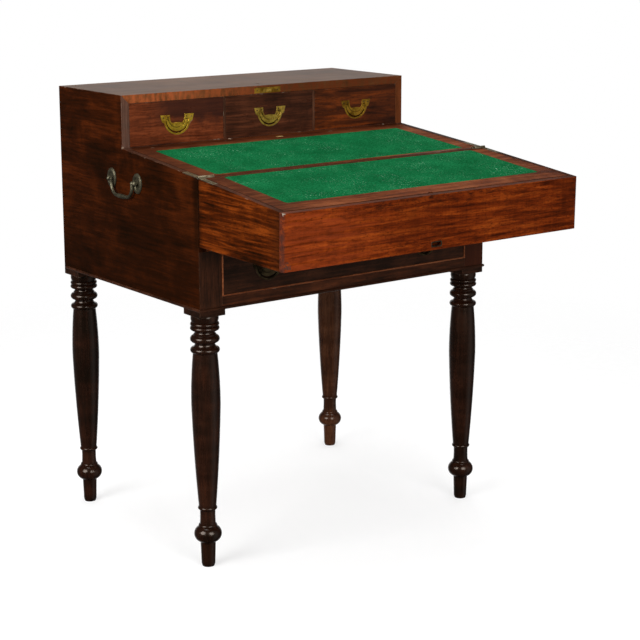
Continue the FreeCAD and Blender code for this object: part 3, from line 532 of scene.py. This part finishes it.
# Each wood: direction of its grain, tones, figure, and the pieces made of it
wood_plan = {
    "side_wood": ("Y", side_tones, side_figure, ["left_side", "right_side"]),
    "top_wood": ("X", top_tones, top_figure, ["top_board"]),
    "front_wood": ("X", front_tones, front_figure, ["front_board"]),
    "block_wood": ("X", dark_tones, {}, ["leg_blocks"]),
    "rail_wood": ("X", rail_tones, {"offset": (0.1, 0, 0)}, ["bottom_rail"]),
    "base_wood": ("X", base_tones, {"offset": (0.5, 0, 0)}, ["base_bead"]),
    # Stiles in the dark tones: the wood's own dark colour with the lid's shade painted in, lifted by painted
    # light on the right one
    "stile_wood": ("Z", dark_tones, stile_figure, ["front_stiles"]),
    "divider_wood": ("Z", divider_tones, {"wear": 0.2}, ["drawer_dividers"]),
    "left_drawer_wood": ("X", left_front_tones, dark_patch_figure, ["left_drawer_front"]),
    "middle_drawer_wood": ("X", middle_front_tones, drawer_figure, ["middle_drawer_front"]),
    "right_drawer_wood": ("X", right_front_tones, banded_figure, ["right_drawer_front"]),
    # The wide drawer's front in the dark tones: the wood's own dark colour with the lid's shade painted in
    "wide_drawer_wood": ("X", dark_tones, {"offset": (0.2, 0, 0.3)}, ["large_drawer_front"]),
    "bead_wood": ("X", bead_tones, {"wear": 0.0}, ["large_drawer_cockbead"]),
    "lid_wood": ("X", lid_tones, lid_figure, ["lid_rear_board"]),
    "lid_case_wood": ("X", lid_case_tones, lid_case_figure, ["lid_top_board", "lid_front_board"]),
    "lid_side_wood": ("Y", lid_side_tones, lid_side_figure, ["lid_left_side", "lid_right_side"]),
    "flap_wood": ("X", rim_tones, flap_figure, ["rear_flap", "lid_flap"]),
    "slope_rail_wood": ("X", slope_rail_tones, rail_figure, ["slope_rail"]),
    "deck_wood": ("X", middle_front_tones, deck_figure, ["drawer_deck"]),
    "leg_wood": ("Z", leg_tones, leg_figure, ["front_left_leg", "front_right_leg", "rear_left_leg"]),
    # The rear right leg is lighter than the others: painted light
    "rear_leg_lit_wood": ("Z", rear_leg_lit_tones, leg_figure, ["rear_right_leg"]),
}


def dress(material, names):
    for name in names:
        slots = nodes[name].data.materials
        slots.clear()
        slots.append(material)


for wood_name, (grain, tones, figure, names) in wood_plan.items():
    dress(wood(wood_name, grain, tones, **figure), names)
dress(lining("cross_lining", "X"), ["back_board", "bottom_board", "well_floor"])
dress(lining("long_lining", "Y"), [
    "drawer_runners", "left_drawer_box", "middle_drawer_box", "right_drawer_box", "large_drawer_box"])
brass = metal("old_brass", srgb(240, 194, 88), srgb(156, 120, 48), srgb(50, 34, 10), gloss=0.3)
# A brighter copy of the brass for the left handle: painted light
painted_lit_brass = metal("painted_lit_brass", srgb(255, 204, 72), srgb(176, 128, 38), srgb(46, 30, 8), gloss=0.28)
# Dull brass for the lock plate, and a darker copy for the right handle: painted shade
dull_brass = metal("dull_brass", srgb(206, 156, 54), srgb(128, 92, 28), srgb(40, 28, 8), gloss=0.34)
lift_brass = metal(
    "lift_brass", srgb(226, 198, 140), srgb(176, 144, 86), srgb(96, 72, 40), gloss=0.4, shine=0.3)
strike_brass = metal("strike_brass", srgb(86, 88, 72), srgb(44, 42, 33), srgb(18, 15, 10), gloss=0.4)
# A dark copy of the brass for the wide drawer's handles: painted shade of the lid
painted_shade_brass = metal("painted_shade_brass", srgb(84, 72, 50), srgb(44, 36, 24), srgb(20, 15, 9), gloss=0.45)
hinge_brass = metal("hinge_brass", srgb(176, 164, 136), srgb(104, 92, 68), srgb(42, 34, 24), gloss=0.36)
screw_brass = metal("screw_brass", srgb(150, 118, 60), srgb(86, 64, 30), srgb(34, 24, 12), gloss=0.36)
slot_dirt = metal("slot_dirt", srgb(40, 28, 16), srgb(22, 15, 9), srgb(10, 7, 4), gloss=0.6, shine=0.3)
bronze = metal("dark_bronze", srgb(126, 120, 98), srgb(82, 77, 62), srgb(40, 36, 28), gloss=0.5, waves=1.5)
iron = metal("dull_iron", srgb(92, 88, 84), srgb(58, 54, 52), srgb(50, 30, 20), gloss=0.5)
dress(brass, ["rear_flap_pins", "lid_flap_pins", "lock_bolt", "middle_handle_plate", "middle_handle_bail"])
dress(painted_lit_brass, ["left_handle_plate", "left_handle_bail"])
dress(dull_brass, ["lock_plate", "right_handle_plate", "right_handle_bail"])
dress(lift_brass, ["rear_lift_plate"])
dress(strike_brass, ["lid_strike"])
dress(painted_shade_brass, ["large_handle_plates", "large_left_bail", "large_right_bail"])
dress(hinge_brass, ["hinge_case_leaves", "hinge_lid_leaves", "hinge_pins"])
dress(bronze, ["carry_roses", "left_carry_bail", "right_carry_bail"])
dress(iron, ["leg_studs", "lock_case"])
baize_material = baize()


# Pieces built as meshes
def piece(name, vertices, faces, materials, body):
    mesh = bpy.data.meshes.new(name)
    mesh.from_pydata(vertices, [], faces)
    for material in materials:
        mesh.materials.append(material)
    made = bpy.data.objects.new(name, mesh)
    bpy.context.scene.collection.objects.link(made)
    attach(made, body)
    return made


def slope_axes(direction, angle):
    """The axes along a writing slope from the fold and square to it, for the case or the lid."""
    along = Vector((0, direction * math.cos(angle), direction * math.sin(angle)))
    return along, Vector((1, 0, 0)).cross(along) * direction


def slope_place(axes, x, along, level):
    return Vector((x, fold_y, fold_z)) + axes[0] * along + axes[1] * level


def cloth_rows(length):
    """Distances of the cloth's rows of points from its first edge, closer together at the round corners."""
    corner_steps = 5
    middle_rows = 44
    lead = [(n / corner_steps) ** 2 * baize_corner for n in range(corner_steps + 1)]
    step = (length - 2 * baize_corner) / middle_rows
    middle = [baize_corner + step * n for n in range(1, middle_rows)]
    return lead + middle + [length - distance for distance in reversed(lead)]


def cloth(name, node, body, end, axes):
    """A sheet of baize glued into its flap, with rounded corners and a slightly uneven surface."""
    columns = 120
    unevenness = 0.00006
    unevenness_scale = 90
    length = end - baize_start
    rows = cloth_rows(length)
    vertices = []
    for level in (0, -baize_thickness):
        for along in rows:
            short = max(0, baize_corner - min(along, length - along))
            half = baize_half_width - baize_corner + math.sqrt(baize_corner ** 2 - short ** 2)
            for n in range(columns + 1):
                x = half * (2 * n / columns - 1)
                wave = noise.noise(Vector((x, along, 0)) * unevenness_scale)
                lift = unevenness * wave if level == 0 else 0
                vertices.append(slope_place(axes, x, baize_start + along, level + lift - rim_level))
    width = columns + 1
    size = width * len(rows)
    faces = []
    for row in range(len(rows) - 1):
        for n in range(columns):
            a = row * width + n
            quad = (a, a + 1, a + width + 1, a + width)
            faces.append(quad)
            faces.append(tuple(size + v for v in reversed(quad)))
    rim = list(range(width))
    rim += [row * width + columns for row in range(1, len(rows))]
    rim += [(len(rows) - 1) * width + n for n in reversed(range(columns))]
    rim += [row * width for row in reversed(range(1, len(rows) - 1))]
    for a, b in zip(rim, rim[1:] + rim[:1]):
        faces.append((a, a + size, b + size, b))
    made = piece(name, vertices, faces, [baize_material], body)
    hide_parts(node)


def prism(outline, tops, frame_axes):
    """A closed prism from an outline, as rings at (level, share of the outline) from bottom to top."""
    centre, right, up, out = frame_axes
    middle = [sum(point[n] for point in outline) / len(outline) for n in (0, 1)]
    count = len(outline)
    vertices = []
    for level, share in tops:
        for x, y in outline:
            a = middle[0] + (x - middle[0]) * share
            b = middle[1] + (y - middle[1]) * share
            vertices.append(centre + right * a + up * b + out * level)
    faces = [tuple(reversed(range(count)))]
    for ring in range(len(tops) - 1):
        for n in range(count):
            a = ring * count + n
            b = ring * count + (n + 1) % count
            faces.append((a, b, b + count, a + count))
    faces.append(tuple(range((len(tops) - 1) * count, len(tops) * count)))
    return vertices, faces


def screws(name, places, radius, proud, body):
    """Slotted screw heads: each has two rounded pads, with a dark disc under the slot between them."""
    slot_share = 0.17
    disc_share = 0.9
    pad_shares = [(-1.0, 1.0), (0.6, 1.0), (1.0, 0.88)]
    disc_shares = [(-1.0, 1.0), (0.15, 1.0)]
    steps = 12
    slot_angle = math.asin(slot_share)
    sweep = math.pi - 2 * slot_angle
    angles = [slot_angle + sweep * n / steps for n in range(steps + 1)]
    pad = [(radius * math.cos(a), radius * math.sin(a)) for a in angles]
    other = [(-x, -y) for x, y in pad]
    turns = [2 * math.pi * n / (2 * steps) for n in range(2 * steps)]
    disc = [(disc_share * radius * math.cos(a), disc_share * radius * math.sin(a)) for a in turns]
    pad_rings = [(level * proud, share) for level, share in pad_shares]
    disc_rings = [(level * proud, share) for level, share in disc_shares]
    vertices = []
    faces = []
    shades = []
    for axes in places:
        for outline, rings, shade in ((pad, pad_rings, 0), (other, pad_rings, 0), (disc, disc_rings, 1)):
            points, sides = prism(outline, rings, axes)
            faces += [tuple(v + len(vertices) for v in side) for side in sides]
            shades += [shade] * len(sides)
            vertices += points
    made = piece(name, vertices, faces, [screw_brass, slot_dirt], body)
    for polygon, shade in zip(made.data.polygons, shades):
        polygon.material_index = shade


def facing_front(x, y, z, turn):
    """A centre with axes for a head that faces -Y, its slot turned by an angle."""
    right = Vector((math.cos(turn), 0, math.sin(turn)))
    out = Vector((0, -1, 0))
    return Vector((x, y, z)), right, out.cross(right), out


def facing_up(axes, x, along, turn):
    """The same for a head let into a writing slope."""
    right = Vector((math.cos(turn), 0, 0)) + axes[0] * math.sin(turn)
    return slope_place(axes, x, along, -rim_level), right, axes[1].cross(right), axes[1]


def handle_screws(x, y, z):
    places = []
    for n, (across, up) in enumerate(handle_screw_places):
        for side in (-1, 1):
            turn = handle_step_turn * n + handle_side_turn * side
            places.append(facing_front(x + side * across, y, z + up, turn))
    return places


def lock_screws():
    places = []
    for side in (-1, 1):
        x = lock_x + side * lock_screw_spread
        places.append(facing_front(x, gallery_y, lock_z, lock_side_turn * side))
    return places


def hinge_screws(axes):
    places = []
    for n, along in enumerate(hinge_screw_places):
        for side in (-1, 1):
            places.append(facing_up(axes, side * hinge_screw_x, along, hinge_step_turn * n + side))
    return places


def lift_screws(axes):
    return [facing_up(axes, lift_x + side * lift_screw_spread, lift_along, side) for side in (-1, 1)]


case_slope = slope_axes(1, slope_angle)
lid_slope = slope_axes(-1, lid_angle)
cloth("rear_baize_cloth", "rear_baize", "rear_flap_body", rear_baize_end, case_slope)
cloth("lid_baize_cloth", "lid_baize", "lid_flap_body", lid_baize_end, lid_slope)
for number, side in enumerate(("left", "middle", "right")):
    heads = handle_screws((number - 1) * small_pitch, gallery_y, small_handle_z)
    screws(f"{side}_handle_screws", heads, handle_screw_radius, handle_screw_proud, f"{side}_drawer")
wide_heads = handle_screws(-large_handle_x, fold_y, large_handle_z)
wide_heads += handle_screws(large_handle_x, fold_y, large_handle_z)
screws("large_handle_screws", wide_heads, handle_screw_radius, handle_screw_proud, "large_drawer")
screws("lock_plate_screws", lock_screws(), lock_screw_radius, lock_screw_proud, "case")
for slope_name, axes in (("case", case_slope), ("lid", lid_slope)):
    heads = hinge_screws(axes)
    screws(f"{slope_name}_hinge_screws", heads, hinge_screw_radius, slope_screw_proud, slope_name)
screws("lift_plate_screws", lift_screws(case_slope), lift_screw_radius, slope_screw_proud, "rear_flap_body")


# Studio
def area_light(name, place, target, size, power):
    data = bpy.data.lights.new(name, "AREA")
    data.shape = "DISK"
    data.size = size
    data.energy = power
    light = bpy.data.objects.new(name, data)
    light.location = place
    light.rotation_euler = (Vector(target) - Vector(place)).to_track_quat("-Z", "Y").to_euler()
    bpy.context.scene.collection.objects.link(light)


def world():
    """White for the camera and soft for light; reflections see a bright wall behind and dim room before."""
    white = 1.0
    soft = 0.38
    dim = 0.03
    made = bpy.data.worlds.new("studio")
    s = Shader(made)
    path = s.node("LightPath", {})
    x, y, z = (s.axis(axis, "Generated") for axis in "XYZ")
    wall = s.times(s.span(y, 0.3, 0.75), s.span(z, 0.34, 0.16))
    wall = s.times(wall, s.span(x, -0.2, 0.3, start=0.05, end=1.0))
    front = s.times(s.span(y, -0.3, -0.8), s.span(x, 0.0, 0.6, start=0.0, end=0.3))
    seen = s.sum(s.sum(wall, front), dim)
    light = s.mix_value(path.outputs["Is Glossy Ray"], soft, seen)
    strength = s.mix_value(path.outputs["Is Camera Ray"], light, white)
    background = s.tree.nodes["Background"]
    s.feed(background.inputs["Color"], (1, 1, 1, 1))
    s.feed(background.inputs["Strength"], strength)
    bpy.context.scene.world = made


def floor():
    """A pale round floor that fades out, so that only the desk's shadow is left on white."""
    reach = 4.0
    sides = 96
    fade_start = 1.0
    fade_end = 2.4
    glow = 0.6
    dark_grey = (0.42, 0.42, 0.42, 1)
    light_grey = (0.45, 0.45, 0.45, 1)
    turns = [2 * math.pi * n / sides for n in range(sides)]
    ring = [(reach * math.cos(a), reach * math.sin(a), 0) for a in turns]
    mesh = bpy.data.meshes.new("floor")
    mesh.from_pydata(ring, [], [tuple(range(sides))])
    made = bpy.data.objects.new("floor", mesh)
    bpy.context.scene.collection.objects.link(made)
    s = Shader(bpy.data.materials.new("pale_floor"))
    place = s.place()
    speck = s.noise(place, scale=40.0, detail=4, rough=0.5)
    colour = s.ramp(speck, [(0.3, dark_grey), (0.7, light_grey)])
    seen = s.node("LightPath", {}).outputs["Is Camera Ray"]
    distance = s.node("VectorMath", {0: place}, operation="LENGTH").outputs["Value"]
    s.set(Base_Color=colour, Roughness=0.9, Specular_IOR_Level=0.0)
    s.set(Emission_Color=(1, 1, 1, 1), Emission_Strength=s.times(seen, glow))
    s.set(Alpha=s.span(distance, fade_start, fade_end, start=1.0, end=0.0))
    mesh.materials.append(s.owner)
    made.visible_glossy = False


def camera():
    """The photograph's place and direction, found by fitting the desk's corners; angles in radians."""
    away_x = -2.1025
    away_y = -2.7087
    height = 1.2970
    pitch = -0.1970
    yaw = 0.6422
    roll = 0.0024
    data = bpy.data.cameras.new("camera")
    data.sensor_width = 36.0
    data.lens = 93.68
    data.shift_y = -0.1
    made = bpy.data.objects.new("camera", data)
    made.location = (away_x, fold_y + away_y, height)
    made.rotation_euler = (math.pi / 2 + pitch, roll, -yaw)
    bpy.context.scene.collection.objects.link(made)
    bpy.context.scene.camera = made


world()
floor()
area_light("key", place=(-3.3, -0.5, 2.0), target=(0, 0, 0.6), size=2.4, power=110)
area_light("front", place=(-0.4, -3.5, 1.9), target=(0, -0.1, 0.6), size=2.4, power=90)
area_light("top", place=(0.2, 0.4, 3.4), target=(0, 0, 0.6), size=2.4, power=60)
camera()
bpy.context.scene.view_settings.view_transform = "Standard"
